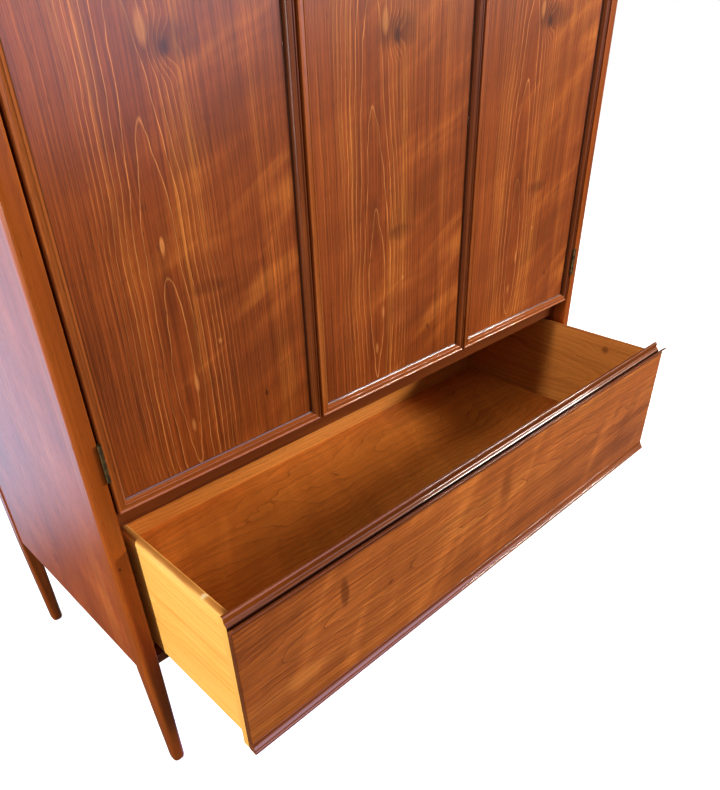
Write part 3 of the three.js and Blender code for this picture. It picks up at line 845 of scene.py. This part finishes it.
def paint_drawer_front():
    paint(NODES["drawer_face"], drawer_face_material())
    low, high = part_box("drawer_front")
    for index, (node, section) in enumerate(DRAWER_SECTIONS.items()):
        board = node == "drawer_front"
        finish = straight(
            node,
            LIP,
            "ZYX",
            node,
            SEEDS["bar"] + index,
            line=0.5,
            ribs=0.3,
            coat=0.9 if node == "drawer_foot_moulding" else 0.45,
            coat_roughness=0.06,
            roughness=0.3,
            relief=0.03,
            ends=Ends(low.x, high.x, 0.0005, 0.95, DRAWER_BOX["ground"]) if board else None,
            # a dark glue joint and painted shadow in the gap where the board meets the face
            grime=GrimeAndShade(low.y + 0.0018, low.y + 0.0006, 0.9) if board else None,
        )
        paint(NODES[node], finish)
        replace_bar(node, section, finish)


def paint_drawer_sides():
    low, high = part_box("drawer_left_side")
    middle = (low + high) / 2
    # painted shade and wear darken the sides' top edge
    worn_and_shaded_edge = Mark((high.z + 0.001, middle.y), (0.004, 0.5), rgb(164, 94, 40), 0.8)
    chip = Mark((high.z, low.y + 0.0499), (0.0035, 0.006), rgb(250, 224, 168), 0.8)
    knot = Knot((high.z - 0.024, low.y + 0.0844), (0.010, 0.011), 5.0)
    sides = (
        ("drawer_left_side", DRAWER_BOX, -0.16, (worn_and_shaded_edge, chip), ()),
        # the right side takes the copy of the box wood with painted shade
        ("drawer_right_side", DRAWER_BOX_SHADED, -0.06, (worn_and_shaded_edge,), (knot,)),
    )
    for index, (node, palette, heart, marks, knots) in enumerate(sides):
        at = center_of(node)
        finish = wood(
            node,
            palette,
            "ZXY",
            (at.z + 0.01, at.x, at.y + heart),
            figure=360.0,
            rise=10.0,
            wave=1.3,
            line=0.6,
            line_width=0.001,
            seed=SEEDS["drawer_side"] + index,
            marks=marks,
            knots=knots,
            # a dark joint line and painted shadow where each side meets the drawer front
            ends=Ends(low.y, BEYOND, 0.0014, 0.8, DRAWER_BOX["pore"]),
            **MATT,
        )
        paint(NODES[node], finish)


def paint_drawer_box():
    paint_drawer_sides()
    at = center_of("drawer_back")
    finish = wood(
        "drawer_back", DRAWER_INNER, "ZYX", (at.z, at.y, -0.1), rise=8.0, line=0.4,
        seed=SEEDS["back"], **MATT,
    )
    paint(NODES["drawer_back"], finish)
    at = center_of("drawer_bottom")
    finish = wood(
        "drawer_bottom", DRAWER_FLOOR, "YZX", (at.y + 0.1119, at.z, 0.1), figure=170.0, rise=6.0,
        line=0.6, line_width=0.0014, far_line=0.7, wave=1.7, seed=SEEDS["floor"], sheen_bands=0.35,
        **MATT,
    )
    paint(NODES["drawer_bottom"], finish)


def paint_inside():
    for index, (node, axes) in enumerate(INSIDE_AXES.items()):
        at = center_of(node)
        origin = [getattr(at, axis.lower()) for axis in axes]
        finish = wood(
            node, INSIDE, axes, origin, rise=4.0, line=0.4, seed=SEEDS["inside"] + index,
            roughness=0.5, coat=0.12,
        )
        paint(NODES[node], finish)


def paint_metal():
    metal = brass("aged_brass")
    for node, slot in SLOTS.items():
        if slot == "aged_brass":
            paint(NODES[node], metal)
    hinge_screws(metal)


def paint_nodes():
    paint_leaves()
    paint_posts()
    paint_case()
    paint_drawer_front()
    paint_drawer_box()
    paint_inside()
    paint_metal()


# ---------- edges ----------
EDGE = 0.0006  # how far sanding rounds an edge of a CAD node
EDGE_SEGMENTS = 2
EDGE_ANGLE = math.radians(40)  # edges sharper than this are rounded
SAME_PLACE = 1e-5


def ease_edges(node):
    """Rounds a CAD node's edges a little, as sanding does, without changing its mesh."""
    piece = NODES[node]
    weld = piece.modifiers.new("weld", "WELD")
    weld.merge_threshold = SAME_PLACE
    bevel = piece.modifiers.new("ease", "BEVEL")
    bevel.width = EDGE
    bevel.segments = EDGE_SEGMENTS
    bevel.limit_method = "ANGLE"
    bevel.angle_limit = EDGE_ANGLE


def ease_all():
    """Eases the wooden nodes that show. The others are metal or have a finer piece in their place."""
    for node in NODES:
        metal = SLOTS[node] == "aged_brass"
        if not metal and not NODES[node].hide_render:
            ease_edges(node)


# ---------- studio ----------
Light = namedtuple("Light", "name at target size power colour")
LIGHTS = (
    Light("window_left", (-3.4, -0.17, 0.98), (0, -0.17, 0.5), (0.14, 1.3), 112, (1.0, 0.98, 0.95)),
    Light("window_right", (2.9, -2.6, 2.0), (0, 0, 0.7), (1.5, 0.28), 212, (1.0, 0.95, 0.88)),
    Light("ceiling", (-0.1, -1.5, 2.5), (0, 0, 1.0), (1.4, 0.9), 5, (1.0, 0.97, 0.95)),
    Light("behind", (0.5, 3.6, 2.4), (0, 0, 0.7), (2.5, 1.8), 30, (1.0, 1.0, 1.0)),
)

# What the gloss sees of the room: soft round patches. towards says where one lies, and outer and inner
# are the cosines of the angles at which it begins and is at its full strength.
Window = namedtuple("Window", "towards outer inner colour strength")
WINDOWS = (
    Window((0.40, -0.89, 0.22), 0.915, 0.99, (0.80, 0.70, 1.0, 1), 5.0),
    Window((0.32, 0.16, -0.94), 0.90, 0.97, (0.24, 0.32, 1.0, 1), 1.7),
    Window((0.82, 0.02, -0.57), 0.93, 0.98, (1.0, 0.84, 0.74, 1), 0.6),
    Window((-0.30, 0.95, 0.0), 0.80, 0.97, (0.80, 0.76, 1.0, 1), 3.0),
    Window((-0.27, 0.90, -0.33), 0.95, 0.99, (0.42, 0.66, 1.0, 1), 2.2),
)
ROOM = ((1.0, 0.86, 0.76, 1), 0.06)  # the rest of the room in the gloss: colour and strength
AMBIENT = ((1.0, 0.97, 0.93, 1), 0.31)
BACKDROP = ((1.0, 1.0, 1.0, 1), 1.0)

FLOOR_HALF = 12.0  # half the floor's width
FLOOR_GLOW = 0.8  # lifts the floor to white for the camera
FLOOR_TINTS = ((0.86, 0.86, 0.86, 1), (0.89, 0.89, 0.885, 1))


def area_light(given):
    light = bpy.data.lights.new(given.name, "AREA")
    light.shape = "RECTANGLE"
    light.size, light.size_y = given.size
    light.energy = given.power
    light.color = given.colour
    lamp = bpy.data.objects.new(given.name, light)
    bpy.context.scene.collection.objects.link(lamp)
    lamp.location = given.at
    beam = Vector(given.target) - Vector(given.at)
    lamp.rotation_euler = beam.to_track_quat("-Z", "Y").to_euler()
    lamp.visible_camera = False


def build_world():
    """White to the camera, soft ambient light on the surfaces, a dim room with windows in the gloss."""
    world = bpy.data.worlds.new("studio")
    world.use_nodes = True
    tree = world.node_tree
    tree.nodes.clear()
    output = tree.nodes.new("ShaderNodeOutputWorld")
    rays = tree.nodes.new("ShaderNodeLightPath")
    direction = tree.nodes.new("ShaderNodeTexCoord").outputs["Generated"]

    def background(colour, strength):
        node = tree.nodes.new("ShaderNodeBackground")
        node.inputs["Color"].default_value = colour
        node.inputs["Strength"].default_value = strength
        return node.outputs[0]

    def choose(factor, a, b):
        node = tree.nodes.new("ShaderNodeMixShader")
        tree.links.new(factor, node.inputs[0])
        tree.links.new(a, node.inputs[1])
        tree.links.new(b, node.inputs[2])
        return node.outputs[0]

    room = background(*ROOM)
    for window in WINDOWS:
        dot = tree.nodes.new("ShaderNodeVectorMath")
        dot.operation = "DOT_PRODUCT"
        tree.links.new(direction, dot.inputs[0])
        dot.inputs[1].default_value = Vector(window.towards).normalized()
        patch = tree.nodes.new("ShaderNodeMapRange")
        patch.interpolation_type = "SMOOTHSTEP"
        tree.links.new(dot.outputs["Value"], patch.inputs[0])
        patch.inputs[1].default_value = window.outer
        patch.inputs[2].default_value = window.inner
        room = choose(patch.outputs[0], room, background(window.colour, window.strength))
    seen = choose(rays.outputs["Is Glossy Ray"], background(*AMBIENT), room)
    seen = choose(rays.outputs["Is Camera Ray"], seen, background(*BACKDROP))
    tree.links.new(seen, output.inputs[0])
    bpy.context.scene.world = world


def floor_paint():
    g = Graph("floor_paint")
    place = g.position()
    speckle = g.noise(g.vector(g.mul(place["X"], 3), g.mul(place["Y"], 3), 0.0), 3.0)
    colour = g.mix(g.smooth(speckle, -0.3, 0.3), *FLOOR_TINTS)
    return g.finish(
        colour,
        0.7,
        g.bump(speckle, 0.05, 0.001),
        Emission_Color=(1, 1, 1, 1),
        Emission_Strength=FLOOR_GLOW,
    )


def build_studio():
    bm = bmesh.new()
    bmesh.ops.create_grid(bm, x_segments=8, y_segments=8, size=FLOOR_HALF)
    floor = new_piece("floor", bm, floor_paint())
    floor.visible_glossy = False
    floor.visible_diffuse = False
    floor.visible_shadow = False
    build_world()
    for light in LIGHTS:
        area_light(light)


# ---------- camera ----------
SENSOR = 36.0  # mm
LENS = 34.446  # mm
SHIFT = (-0.006486, 0.131347)  # of the lens, in widths of the sensor
HEADING = math.radians(43.87)  # from +Y towards +X
TILT = math.radians(35.31)  # downwards
ROLL = math.radians(-1.49)
EYE = Vector((-0.7453, -0.8114, 0.9936))
CLIP_START = 0.05


def build_camera():
    data = bpy.data.cameras.new("camera")
    data.sensor_fit = "HORIZONTAL"
    data.sensor_width = SENSOR
    data.lens = LENS
    data.shift_x, data.shift_y = SHIFT
    data.clip_start = CLIP_START
    camera = bpy.data.objects.new("camera", data)
    bpy.context.scene.collection.objects.link(camera)
    turn = Matrix.Rotation(-HEADING, 4, "Z") @ Matrix.Rotation(math.pi / 2 - TILT, 4, "X")
    camera.matrix_world = Matrix.Translation(EYE) @ turn @ Matrix.Rotation(ROLL, 4, "Z")
    bpy.context.scene.camera = camera


build_camera()
build_studio()
paint_nodes()
ease_all()
bpy.context.scene.view_settings.view_transform = "Standard"
